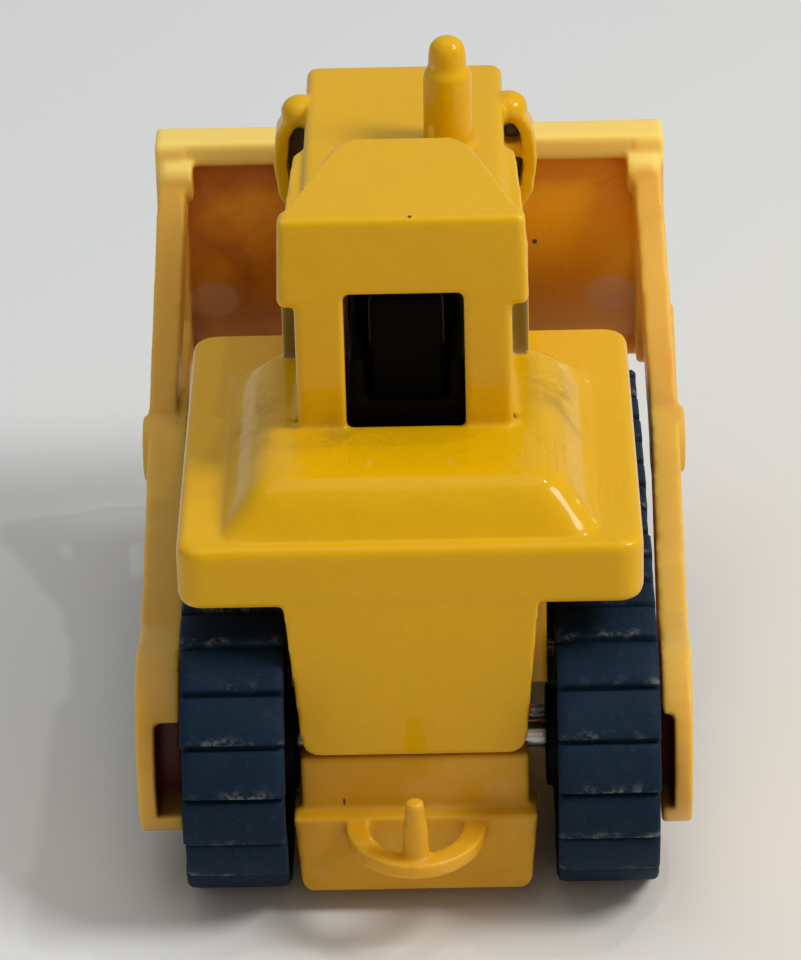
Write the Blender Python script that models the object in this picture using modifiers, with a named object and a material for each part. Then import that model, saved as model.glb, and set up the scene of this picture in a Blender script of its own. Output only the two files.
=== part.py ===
"""A die-cast toy bulldozer, about 80 mm long, with rubber tracks and a plastic blade that lifts.

+Y is forward, towards the blade, +X is the toy's right and +Z is up. The origin is on the floor, under the
middle of the toy. Sizes below are in millimetres. Places along the toy are counted from the rear face of the
fender deck, and CENTRE_Y moves them to the middle.
"""

import math

import bmesh
import bpy
from mathutils import Matrix, Vector

MM = 0.001
GAP = 0.3

# Ends of the toy: the tow hook behind and the blade's cutting edge in front.
HOOK_REAR = -8.1
BLADE_FRONT = 71.6
CENTRE_Y = (HOOK_REAR + BLADE_FRONT) / 2

# Tracks, wheels and axles.
AXLE_Z = 12.0
REAR_AXLE_Y = 6.4
FRONT_AXLE_Y = 45.8
TRACK_RADIUS = 12.0
BELT_THICKNESS = 1.0
PAD_HEIGHT = 0.8
PAD_COUNT = 36
TRACK_INNER_X = 10.7
TRACK_OUTER_X = 19.0
TRACK_SHIFT = 0.55
WHEEL_RADIUS = TRACK_RADIUS - PAD_HEIGHT - BELT_THICKNESS - GAP
AXLE_RADIUS = 1.1
ROLLER_RADIUS = 3.6
ROLLER_AXLE_RADIUS = 0.7
ROLLER_YS = (20.6, 31.6)
ROLLER_Z = TRACK_RADIUS - WHEEL_RADIUS + ROLLER_RADIUS

# Body casting.
UPPER_SHIFT = -0.2
DECK_HALF = 18.3
DECK_LENGTH = 39.2
DECK_TOP = 32.6
SKIRT_BOTTOM = 27.3
WALL = 1.3
HULL_HALF = 9.0
HULL_BOTTOM = 15.0
PANEL_TOP_HALF = 10.0
PANEL_BOTTOM_HALF = 9.0
PANEL_BOTTOM = 13.9
TANK_TOP = 36.8
HOOD_HALF = 8.5
HOOD_TOP = 47.5
HOOD_FRONT = 61.6
COWL_HALF = 10.1
COWL_REAR = 25.5
COWL_FRONT = 45.4
CAB_REAR = 12.4
CAB_HALF = 9.95
CAB_LOWER_HALF = 8.6
CAB_FRONT = 29.0
CAB_FRONT_HALF = 5.4
HEADER_BOTTOM = 47.4
ROOF_TOP = 55.0
STACK_PLACE = (3.6, 44.5)
STACK_TOP = 57.1

# Colours.
YELLOW_PAINT = (0.78, 0.52, 0.01)
YELLOW_PLASTIC = (0.75, 0.45, 0.06)
BLACK_PLASTIC = (0.01, 0.01, 0.012)
RUBBER = (0.01, 0.018, 0.035)
STEEL = (0.6, 0.6, 0.6)

# Base.
BASE_BOTTOM = 2.0
BASE_HALF = 8.6
BASE_REAR = 0.6
BASE_FRONT = 59.4
BASE_TOP = 13.4
BLOCK_REAR = -1.2
BLOCK_HALF = 9.75
BLOCK_TOP = 8.9
FLOOR_TOP = 3.6
POST_RADIUS = 2.1
POST_YS = (10.6, 52.4)
RIVET_RADIUS = 1.0

# Blade, arms and braces, in the raised position.
ARM_INNER_X = {"left": 18.75, "right": 19.85}
ARM_OUTER_X = 22.3
ARM_SPLAY = 0.023
ARM_POINTS = ((REAR_AXLE_Y, AXLE_Z, 7.3), (18.0, 13.0, 3.2), (50.0, 16.2, 2.7), (68.0, 18.4, 2.2))
BRACE_POINTS = ((50.0, 16.2, 1.7), (66.6, 34.6, 1.6))
BRACE_INNER_X = 20.8
BRACE_OUTER_X = 23.4
BRACE_SPLAY = -0.06
KNUCKLE_OUTER_X = 23.8
POCKET_X = 20.6
BLADE_HALF = 22.7
BLADE_REAR = 66.4
BLADE_BOTTOM = 14.6
BLADE_TOP = 38.1
MOULDBOARD_HALF = 20.2
MOULDBOARD_THICKNESS = 1.5
MOULDBOARD_CURVE = 18.6


def place(x, y, z):
    """A point given in millimetres from the deck's rear face, in the part's own frame in metres."""
    return Vector((x, y - CENTRE_Y, z)) * MM


def clear_scene():
    for item in list(bpy.data.objects):
        bpy.data.objects.remove(item, do_unlink=True)


def collection(name):
    made = bpy.data.collections.new(name)
    bpy.context.scene.collection.children.link(made)
    return made


def finish(item, colour, roughness, metallic=0.0):
    """The item's own material, named for it."""
    made = bpy.data.materials.new(item.name)
    made.use_nodes = True
    shader = made.node_tree.nodes["Principled BSDF"]
    shader.inputs["Base Color"].default_value = (*colour, 1.0)
    shader.inputs["Roughness"].default_value = roughness
    shader.inputs["Metallic"].default_value = metallic
    item.data.materials.append(made)


def set_origin(item, point):
    """Moves an item's origin, and leaves its mesh where it is."""
    item.data.transform(Matrix.Translation(-place(*point)))
    item.location = place(*point)


def new_object(name, mesh, group):
    made = bpy.data.objects.new(name, mesh)
    group.objects.link(made)
    return made


def mesh_object(name, shape, group):
    mesh = bpy.data.meshes.new(name)
    bmesh.ops.recalc_face_normals(shape, faces=shape.faces)
    if shape.calc_volume(signed=True) < 0:
        bmesh.ops.reverse_faces(shape, faces=shape.faces)
    shape.to_mesh(mesh)
    shape.free()
    return new_object(name, mesh, group)


def along(edge, axis):
    direction = (edge.verts[1].co - edge.verts[0].co).normalized()
    return abs(direction[axis]) > 0.999


def block(name, low, high, group, corner=0.0, corner_axis=2, edge=0.0):
    """A box whose four edges along one axis take the radius corner, and whose other edges take edge."""
    low, high = place(*low), place(*high)
    shape = bmesh.new()
    bmesh.ops.create_cube(shape, size=1.0)
    size = high - low
    bmesh.ops.scale(shape, vec=size, verts=shape.verts)
    bmesh.ops.translate(shape, vec=(low + high) / 2, verts=shape.verts)
    if corner:
        chosen = [e for e in shape.edges if along(e, corner_axis)]
        bmesh.ops.bevel(shape, geom=chosen, offset=corner * MM, segments=4, profile=0.5, affect="EDGES")
    if edge:
        ends = (low[corner_axis], high[corner_axis])
        chosen = [
            e for e in shape.edges
            if any(all(abs(v.co[corner_axis] - end) < 1e-7 for v in e.verts) for end in ends)
        ]
        bmesh.ops.bevel(shape, geom=chosen, offset=edge * MM, segments=2, profile=0.5, affect="EDGES")
    return mesh_object(name, shape, group)


def frustum(name, low_outline, high_outline, low_z, high_z, group, edge=0.0):
    """A loft between two outlines of as many points, one above the other."""
    shape = bmesh.new()
    rings = []
    for outline, z in ((low_outline, low_z), (high_outline, high_z)):
        rings.append([shape.verts.new(place(x, y, z)) for x, y in outline])
    count = len(low_outline)
    shape.faces.new(rings[0][::-1])
    shape.faces.new(rings[1])
    for i in range(count):
        j = (i + 1) % count
        shape.faces.new((rings[0][i], rings[0][j], rings[1][j], rings[1][i]))
    if edge:
        bmesh.ops.bevel(shape, geom=list(shape.edges), offset=edge * MM, segments=2, profile=0.5, affect="EDGES")
    return mesh_object(name, shape, group)


def plate(name, outline, axis, start, end, group, edge=0.0, hole=()):
    """A flat outline, given in the plane square to axis, extruded from start to end along it."""
    curve = bpy.data.curves.new(name, "CURVE")
    curve.dimensions = "2D"
    curve.fill_mode = "BOTH"
    curve.extrude = (end - start) / 2 * MM
    for loop in (outline, hole) if hole else (outline,):
        spline = curve.splines.new("POLY")
        spline.points.add(len(loop) - 1)
        for point, (a, b) in zip(spline.points, loop):
            point.co = (a * MM, b * MM, 0.0, 1.0)
        spline.use_cyclic_u = True
    guide = new_object(name + "_outline", curve, group)
    bpy.context.view_layer.update()
    graph = bpy.context.evaluated_depsgraph_get()
    mesh = bpy.data.meshes.new_from_object(guide.evaluated_get(graph))
    bpy.data.objects.remove(guide, do_unlink=True)
    shape = bmesh.new()
    shape.from_mesh(mesh)
    bpy.data.meshes.remove(mesh)
    bmesh.ops.remove_doubles(shape, verts=shape.verts, dist=1e-6)
    bmesh.ops.dissolve_limit(
        shape, angle_limit=0.001, verts=shape.verts, edges=shape.edges, delimit={"NORMAL"}
    )
    middle = (start + end) / 2 * MM
    if axis == 0:
        turn = Matrix(((0, 0, 1, middle), (1, 0, 0, -CENTRE_Y * MM), (0, 1, 0, 0), (0, 0, 0, 1)))
    elif axis == 1:
        turn = Matrix(((1, 0, 0, 0), (0, 0, 1, middle - CENTRE_Y * MM), (0, 1, 0, 0), (0, 0, 0, 1)))
    else:
        turn = Matrix(((1, 0, 0, 0), (0, 1, 0, -CENTRE_Y * MM), (0, 0, 1, middle), (0, 0, 0, 1)))
    shape.transform(turn)
    if edge:
        bmesh.ops.bevel(shape, geom=list(shape.edges), offset=edge * MM, segments=2, profile=0.5, affect="EDGES")
    return mesh_object(name, shape, group)


def splay(item, side, slope, start):
    """Leans a flat plate outwards by slope along the toy, counted from the place start."""
    for vert in item.data.vertices:
        vert.co.x += side * slope * (vert.co.y - (start - CENTRE_Y) * MM)
    return item


def rod(name, radius, start, end, group, sides=32, end_radius=None):
    """A cylinder or cone between two points."""
    start, end = place(*start), place(*end)
    shape = bmesh.new()
    bmesh.ops.create_cone(
        shape,
        cap_ends=True,
        segments=sides,
        radius1=radius * MM,
        radius2=(radius if end_radius is None else end_radius) * MM,
        depth=(end - start).length,
    )
    turn = (end - start).to_track_quat("Z", "Y").to_matrix().to_4x4()
    shape.transform(Matrix.Translation((start + end) / 2) @ turn)
    return mesh_object(name, shape, group)


def ball(name, centre, radii, group):
    shape = bmesh.new()
    bmesh.ops.create_uvsphere(shape, u_segments=20, v_segments=12, radius=1.0)
    bmesh.ops.scale(shape, vec=Vector(radii) * MM, verts=shape.verts)
    bmesh.ops.translate(shape, vec=place(*centre), verts=shape.verts)
    return mesh_object(name, shape, group)


def turned(name, profile, centre, axis, group, steps=40, bored=False):
    """A profile of (radius, distance) points turned about the axis through centre: 2 is +Z, 0 +X, -1 -X."""
    mesh = bpy.data.meshes.new(name)
    points = [(radius * MM, 0.0, distance * MM) for radius, distance in profile]
    edges = [(i, i + 1) for i in range(len(points) - 1)]
    if bored:
        edges.append((len(points) - 1, 0))
    mesh.from_pydata(points, edges, [])
    made = new_object(name, mesh, group)
    screw = made.modifiers.new("Turn", "SCREW")
    screw.axis = "Z"
    screw.steps = steps
    screw.render_steps = steps
    screw.use_merge_vertices = True
    screw.merge_threshold = 1e-6
    made.location = place(*centre)
    if axis != 2:
        made.rotation_euler = (0.0, math.radians(90 if axis == 0 else -90), 0.0)
    return made


def link(points):
    """The outline round a chain of circles, given as (y, z, radius), as flat sides and round ends."""
    (y0, z0, r0), (y1, z1, r1) = points
    length = math.hypot(y1 - y0, z1 - z0)
    heading = math.degrees(math.atan2(z1 - z0, y1 - y0))
    spread = math.degrees(math.acos((r0 - r1) / length))
    rear = arc((y0, z0), r0, heading + spread, heading + 360 - spread, 17)
    return rear + arc((y1, z1), r1, heading - spread, heading + spread, 13)


def arc(centre, radius, start, end, count):
    """Points on an arc, with angles in degrees."""
    angles = [math.radians(start + (end - start) * i / (count - 1)) for i in range(count)]
    return [(centre[0] + radius * math.cos(a), centre[1] + radius * math.sin(a)) for a in angles]


def boolean(target, tool, operation):
    tool.hide_render = True
    tool.display_type = "WIRE"
    step = target.modifiers.new(operation.title() + " " + tool.name, "BOOLEAN")
    step.operation = operation
    step.object = tool


def add(target, *tools):
    for tool in tools:
        boolean(target, tool, "UNION")


def cut(target, *tools):
    for tool in tools:
        boolean(target, tool, "DIFFERENCE")


def cab_outline(inset=0.0):
    """The roof in plan: full width at the rear, then a small shoulder and a taper to the windscreen."""
    rear, half = CAB_REAR + inset, CAB_HALF - inset
    shoulder, front_half, front = CAB_HALF - 1.6 - inset, CAB_FRONT_HALF - inset, CAB_FRONT - inset
    right = [(half, rear), (half, 14.6), (shoulder, 16.0), (shoulder - 1.3, 22.6), (front_half + 0.5, front - 1.8)]
    right.append((front_half - 0.9, front))
    outline = right + [(-x, y) for x, y in reversed(right)]
    return [(x + UPPER_SHIFT, y) for x, y in outline]


def cowl_outline():
    """The wide part of the hood in plan: square behind, narrower and well rounded in front."""
    front_half = COWL_HALF - 0.7
    right = [(COWL_HALF, COWL_REAR)] + arc((front_half - 2.4, COWL_FRONT - 2.4), 2.4, 0, 90, 6)
    outline = right + [(-x, y) for x, y in reversed(right)]
    return [(x + UPPER_SHIFT, y) for x, y in outline]


def tank_outlines(inset=0.0):
    """The hump round the cab, at the deck and at its top."""
    foot = [(-15.5, 0.7), (15.5, 0.7), (15.5, 32.6), (-15.5, 32.6)]
    top = [(-11.6, 3.8), (11.6, 3.8), (11.6, 27.0), (-11.6, 27.0)]
    return [
        [(x - math.copysign(inset, x), y + (inset if y < 15 else -inset)) for x, y in outline]
        for outline in (foot, top)
    ]


def body_casting(parts, tools):
    """The shell: an outer form joined from blocks, then its hollow, windows and posts."""
    body = block(
        "body_casting", (-DECK_HALF, 0, SKIRT_BOTTOM), (DECK_HALF, DECK_LENGTH, DECK_TOP), parts,
        corner=2.0, edge=0.7,
    )
    foot, top = tank_outlines()
    panel = [(-PANEL_TOP_HALF, 30.0), (-PANEL_TOP_HALF, SKIRT_BOTTOM)]
    panel += arc((-PANEL_BOTTOM_HALF + 1.6, PANEL_BOTTOM + 1.6), 1.6, 180, 270, 5)
    panel += arc((PANEL_BOTTOM_HALF - 1.6, PANEL_BOTTOM + 1.6), 1.6, 270, 360, 5)
    panel += [(PANEL_TOP_HALF, SKIRT_BOTTOM), (PANEL_TOP_HALF, 30.0)]
    add(
        body,
        frustum("tank_form", foot, top, DECK_TOP - 1.0, TANK_TOP, tools, edge=1.3),
        plate("rear_panel_form", panel, 1, 0.05, 1.6, tools),
        block("hull_form", (-HULL_HALF, 1.0, HULL_BOTTOM), (HULL_HALF, 58.0, 31.0), tools, edge=0.3),
        block(
            "hood_form", (UPPER_SHIFT - HOOD_HALF, 24.0, 18.0), (UPPER_SHIFT + HOOD_HALF, HOOD_FRONT, HOOD_TOP),
            tools, corner=1.0, edge=0.6,
        ),
        plate("cowl_form", cowl_outline(), 2, 30.0, 46.9, tools),
        frustum(
            "cab_form", cab_outline(), cab_outline(0.25), HEADER_BOTTOM, ROOF_TOP, tools, edge=0.5,
        ),
        block(
            "cab_lower_form", (UPPER_SHIFT - CAB_LOWER_HALF, CAB_REAR + 0.05, 33.0),
            (UPPER_SHIFT + CAB_LOWER_HALF, 27.0, 48.5), tools, corner=0.5,
        ),
    )
    add(body, *lift_brackets(tools), *stack(tools))
    hollow_body(body, tools)
    add(body, *posts(tools))
    cut(body, *post_bores(tools))
    finish(body, YELLOW_PAINT, 0.25)


def lift_brackets(tools):
    """A round housing on each side of the hood's front, with a lug that hangs outside it and curls in."""
    made = []
    for side, name in ((-1, "left"), (1, "right")):
        made.append(ball(f"bracket_{name}", (side * 9.0 + UPPER_SHIFT, 54.4, 46.35), (1.65, 1.9, 1.35), tools))
        lug = [(9.1, 45.9), (10.3, 46.1), (11.1, 44.7), (11.4, 42.0), (11.0, 39.0), (9.6, 36.7), (7.7, 35.7)]
        lug += [(7.7, 37.3), (9.2, 38.1), (10.0, 39.8), (10.2, 42.0), (9.9, 44.5)]
        lug = [(side * x + UPPER_SHIFT, z) for x, z in lug]
        made.append(plate(f"lug_{name}", lug, 1, 52.8, 56.0, tools))
        inner, outer = sorted((side * 7.5 + UPPER_SHIFT, side * 10.4 + UPPER_SHIFT))
        made.append(block(f"lug_web_{name}", (inner, 54.9, 37.2), (outer, 55.7, 45.4), tools))
    cross = (HOOD_HALF - 0.6 + UPPER_SHIFT, 53.2, 42.0), (10.6 + UPPER_SHIFT, 55.4, 43.4)
    made.append(block("lug_cross", *cross, tools, edge=0.3))
    return made


def stack(tools):
    """The exhaust: a tapered pipe with a narrower domed tip."""
    x, y = STACK_PLACE
    profile = [(0.0, 13.2), (0.9, 13.0), (1.45, 12.4), (1.6, 11.6), (1.62, 10.6), (2.05, 9.9)]
    profile += [(2.15, 4.0), (2.5, 3.3), (3.1, 2.9), (3.1, 0.0), (0.0, 0.0)]
    return [turned("stack_form", profile, (x, y, STACK_TOP - 13.2), 2, tools, steps=24)]


def hollow_body(body, tools):
    """Everything the die leaves empty: over the tracks, in the hull and hood, in the tank and in the cab."""
    inside = DECK_HALF - WALL
    hood_inside = HOOD_HALF - 1.5
    foot, top = tank_outlines(WALL)
    cab_inside = cab_outline(WALL)
    cut(
        body,
        block("deck_hollow", (-inside, WALL, 20.0), (-HULL_HALF, DECK_LENGTH - WALL, DECK_TOP - WALL), tools),
        block("deck_hollow_2", (HULL_HALF, WALL, 20.0), (inside, DECK_LENGTH - WALL, DECK_TOP - WALL), tools),
        block("hull_hollow", (WALL - HULL_HALF, 1.6, 10.0), (HULL_HALF - WALL, 56.6, DECK_TOP - WALL), tools),
        frustum("tank_hollow", foot, top, DECK_TOP - WALL - 0.1, TANK_TOP - WALL, tools),
        block(
            "hood_hollow", (UPPER_SHIFT - hood_inside, 26.0, 20.0),
            (UPPER_SHIFT + hood_inside, HOOD_FRONT - 1.6, HOOD_TOP - 1.5), tools,
        ),
        frustum("cab_hollow", cab_inside, cab_inside, 34.0, ROOF_TOP - 1.4, tools),
    )
    sill = TANK_TOP - 0.3
    for side, name in ((-1, "left"), (1, "right")):
        inner, outer = sorted((side * 4.4, side * 12.0))
        cut(
            body,
            block(
                f"side_window_{name}", (inner, 14.0, 37.6), (outer, COWL_REAR - 0.2, HEADER_BOTTOM - 0.6), tools,
                corner=1.0, corner_axis=0,
            ),
        )
    cut(
        body,
        block("rear_window", (-4.9, 10.0, sill), (4.6, 15.0, 48.5), tools, corner=0.4, corner_axis=1),
        block("windscreen", (-4.2, 27.0, 48.2), (4.2, 32.0, 52.4), tools, corner=0.5, corner_axis=1),
    )


def posts(tools):
    """Two posts that reach down to the base."""
    tops = (TANK_TOP - 0.6, HOOD_TOP - 0.6)
    return [
        rod(f"post_{i}", POST_RADIUS, (0, y, FLOOR_TOP + GAP), (0, y, top), tools, sides=24)
        for i, (y, top) in enumerate(zip(POST_YS, tops))
    ]


def post_bores(tools):
    return [
        rod(f"post_bore_{i}", RIVET_RADIUS + GAP, (0, y, 0), (0, y, 9.6), tools, sides=20)
        for i, y in enumerate(POST_YS)
    ]


def cab_interior(parts, tools):
    """The insert: a floor block with a seat, a dash and a console on each side."""
    interior = block("cab_interior", (-4.8, 14.1, 36.0), (4.8, 24.6, 38.4), parts, edge=0.2)
    add(
        interior,
        block("seat_back", (-3.0, 15.6, 38.0), (3.0, 17.6, 46.8), tools, corner=0.8, corner_axis=1, edge=0.3),
        block("seat_cushion", (-3.0, 16.4, 38.0), (3.0, 21.4, 40.6), tools, edge=0.3),
        block("console_left", (-4.7, 14.4, 38.0), (-3.4, 24.2, 42.0), tools, edge=0.3),
        block("console_right", (3.4, 14.4, 38.0), (4.7, 24.2, 42.0), tools, edge=0.3),
        block("dash", (-4.5, 22.6, 38.0), (4.5, 24.4, 45.0), tools, edge=0.3),
    )
    finish(interior, BLACK_PLASTIC, 0.5)


def hook_outline():
    """A half ring that stands out behind the rear block, with straight ends rooted in it."""
    stretch = (-1.6 - HOOK_REAR) / 5.6
    outer = [(x, -1.6 + stretch * y) for x, y in arc((0.0, 0.0), 5.6, 180, 360, 17)]
    inner = [(x, -1.6 + 1.2 * y) for x, y in arc((0.0, 0.0), 3.8, 360, 180, 13)]
    return [(-5.6, 0.4)] + outer + [(5.6, 0.4), (3.8, 0.4)] + inner + [(-3.8, 0.4)]


def base_chassis(parts, tools):
    """The base tray with its stepped rear block, tow hook, peg, axle slots and rivet holes."""
    base = block(
        "base_chassis", (-BASE_HALF, BASE_REAR, BASE_BOTTOM), (BASE_HALF, BASE_FRONT, BASE_TOP), parts,
        corner=0.6, edge=0.3,
    )
    bottom = BASE_BOTTOM + 0.06
    low_half = BLOCK_HALF - 0.5
    rear = arc((low_half - 1.0, bottom + 1.0), 1.0, 270, 355, 5) + [(BLOCK_HALF, BLOCK_TOP)]
    rear = [(-x, z) for x, z in reversed(rear)] + rear
    add(
        base,
        plate("rear_block", rear, 1, BLOCK_REAR, 2.6, tools),
        block("rear_upper", (-9.1, BASE_REAR - 0.3, 8.0), (9.1, 3.0, PANEL_BOTTOM - GAP), tools, edge=0.3),
        plate("tow_hook", hook_outline(), 2, BLOCK_TOP - 1.6, BLOCK_TOP - 0.3, tools),
        rod("tow_peg", 1.1, (0, -6.3, BLOCK_TOP - 0.8), (0, -6.3, BLOCK_TOP + 2.6), tools, sides=16, end_radius=1.0),
        rod("tow_peg_tip", 0.95, (0, -6.3, BLOCK_TOP + 2.2), (0, -6.3, 13.5), tools, sides=16, end_radius=0.7),
    )
    cut(
        base,
        block(
            "tray", (WALL + GAP - BASE_HALF, 2.6, FLOOR_TOP), (BASE_HALF - WALL - GAP, BASE_FRONT - 1.6, 20.0), tools
        ),
    )
    for index, (y, z, radius) in enumerate(axle_places()):
        cut(base, rod(f"axle_hole_{index}", radius + GAP, (-12, y, z), (12, y, z), tools, sides=24))
        if z == AXLE_Z:
            half = radius + GAP - 0.01
            cut(base, block(f"axle_slot_{index}", (-12, y - half, z), (12, y + half, z + 4), tools))
    for index, y in enumerate(POST_YS):
        cut(
            base,
            rod(f"rivet_hole_{index}", RIVET_RADIUS + GAP, (0, y, 0), (0, y, 8), tools, sides=20),
            rod(f"rivet_recess_{index}", 2.2, (0, y, 0), (0, y, BASE_BOTTOM + 0.5), tools, sides=24),
        )
    finish(base, YELLOW_PLASTIC, 0.4)


def axle_places():
    places = [(REAR_AXLE_Y, AXLE_Z, AXLE_RADIUS), (FRONT_AXLE_Y, AXLE_Z, AXLE_RADIUS)]
    return places + [(y, ROLLER_Z, ROLLER_AXLE_RADIUS) for y in ROLLER_YS]


def rivets(parts):
    """A headed rivet from below, through the base and into each post."""
    for name, y in zip(("rivet_rear", "rivet_front"), POST_YS):
        profile = [(0.0, 7.0), (RIVET_RADIUS, 7.0), (RIVET_RADIUS, 0.6), (1.8, 0.6), (1.7, 0.2), (1.2, 0.0), (0.0, 0.0)]
        rivet = turned(name, profile, (0, y, BASE_BOTTOM - 0.4), 2, parts, steps=24)
        finish(rivet, STEEL, 0.3, 1.0)


def track_loop(offset, travel):
    """A point on the track's loop: offset is its distance from the axles, travel runs along the pitch line."""
    pitch_radius = TRACK_RADIUS - PAD_HEIGHT
    straight = FRONT_AXLE_Y - REAR_AXLE_Y
    half_turn = math.pi * pitch_radius
    travel %= 2 * (straight + half_turn)
    if travel < straight:
        return REAR_AXLE_Y + travel, AXLE_Z + offset
    travel -= straight
    if travel < half_turn:
        angle = math.pi / 2 - travel / pitch_radius
        return FRONT_AXLE_Y + offset * math.cos(angle), AXLE_Z + offset * math.sin(angle)
    travel -= half_turn
    if travel < straight:
        return FRONT_AXLE_Y - travel, AXLE_Z - offset
    travel -= straight
    angle = -math.pi / 2 - travel / pitch_radius
    return REAR_AXLE_Y + offset * math.cos(angle), AXLE_Z + offset * math.sin(angle)


def track(side, parts):
    """A belt with flat pads round its outside, and the loop inside it where the wheels run."""
    loop = 2 * (FRONT_AXLE_Y - REAR_AXLE_Y) + 2 * math.pi * (TRACK_RADIUS - PAD_HEIGHT)
    pitch = loop / PAD_COUNT
    outer = []
    for i in range(PAD_COUNT):
        start = i * pitch
        outer.append(track_loop(TRACK_RADIUS - PAD_HEIGHT, start))
        outer.append(track_loop(TRACK_RADIUS, start + 0.06 * pitch))
        outer.append(track_loop(TRACK_RADIUS, start + 0.84 * pitch))
        outer.append(track_loop(TRACK_RADIUS - PAD_HEIGHT, start + 0.92 * pitch))
    inner = WHEEL_RADIUS + GAP
    hole = arc((REAR_AXLE_Y, AXLE_Z), inner, 270, 90, 25) + arc((FRONT_AXLE_Y, AXLE_Z), inner, 90, -90, 25)
    name = "track_left" if side < 0 else "track_right"
    start, end = sorted((side * TRACK_INNER_X + TRACK_SHIFT, side * TRACK_OUTER_X + TRACK_SHIFT))
    belt = plate(name, outer[::-1], 0, start, end, parts, hole=hole)
    finish(belt, RUBBER, 0.7)


def wheel_profile():
    """The rim, the recessed web and the hub, from the track's inner side at 0 outwards."""
    width = TRACK_OUTER_X - TRACK_INNER_X - 0.4
    bore = AXLE_RADIUS + GAP
    rim = WHEEL_RADIUS
    outer = [(bore, width - 0.4), (3.4, width - 0.4), (3.8, width - 0.8), (4.0, width - 2.0), (7.6, width - 2.0)]
    outer += [(8.0, width - 0.3), (rim - 0.3, width), (rim, width - 0.3), (rim, 0.5), (rim - 0.3, 0.2)]
    return outer + [(8.2, 0.2), (7.6, 1.8), (4.6, 1.8), (4.2, 0.2), (4.2, -0.4), (3.9, -0.7), (bore, -0.7)]


def roller_profile():
    bore = ROLLER_AXLE_RADIUS + GAP
    rim = ROLLER_RADIUS
    outer = [(bore, 5.0), (rim - 0.3, 5.0), (rim, 4.7), (rim, 3.2), (rim - 0.6, 3.0), (rim - 0.6, 2.0)]
    return outer + [(rim, 1.8), (rim, 0.3), (rim - 0.3, 0.0), (bore, 0.0)]


def running_gear(parts):
    """The axles with their wheels, and the small rollers that press the belts to the ground."""
    for end, y in (("rear", REAR_AXLE_Y), ("front", FRONT_AXLE_Y)):
        reach = ARM_OUTER_X - 1.1 if end == "rear" else TRACK_OUTER_X - 0.2
        tip = [(0.0, reach), (AXLE_RADIUS - 0.3, reach), (AXLE_RADIUS, reach - 0.3)]
        tip += [(AXLE_RADIUS, 0.3 - reach), (AXLE_RADIUS - 0.3, -reach), (0.0, -reach)]
        axle = turned(end + "_axle", tip, (0, y, AXLE_Z), 0, parts, steps=20)
        finish(axle, STEEL, 0.3, 1.0)
        smooth_turned(axle)
        for side, axis in (("left", -1), ("right", 0)):
            place_x = TRACK_INNER_X * (-1 if side == "left" else 1) + TRACK_SHIFT
            wheel = turned(
                f"{end}_wheel_{side}", wheel_profile(), (place_x, y, AXLE_Z), axis, parts, steps=36, bored=True
            )
            finish(wheel, BLACK_PLASTIC, 0.5)
            smooth_turned(wheel)
    for end, y in zip(("rear", "front"), ROLLER_YS):
        reach, radius = TRACK_OUTER_X - 1.4, ROLLER_AXLE_RADIUS
        line = [(0.0, reach), (radius, reach), (radius, -reach), (0.0, -reach)]
        axle = turned(f"roller_axle_{end}", line, (0, y, ROLLER_Z), 0, parts, steps=16)
        finish(axle, STEEL, 0.3, 1.0)
        for side, axis in (("left", -1), ("right", 0)):
            place_x = (TRACK_INNER_X + 1.4) * (-1 if side == "left" else 1) + TRACK_SHIFT
            roller = turned(
                f"{end}_roller_{side}", roller_profile(), (place_x, y, ROLLER_Z), axis, parts, steps=20, bored=True
            )
            finish(roller, BLACK_PLASTIC, 0.5)
            smooth_turned(roller)


def smooth_turned(item):
    for modifier in item.modifiers:
        if modifier.type == "SCREW":
            modifier.use_smooth_shade = True


def mouldboard_outline():
    """The blade in section: a curve that is hollow at the front, over a thicker cutting edge."""
    centre = (MOULDBOARD_CURVE + BLADE_REAR + 0.4, 27.2)
    rear = arc(centre, MOULDBOARD_CURVE, 152, 217, 15)
    front = arc(centre, MOULDBOARD_CURVE - MOULDBOARD_THICKNESS, 216, 152, 15)
    return rear + front


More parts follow.
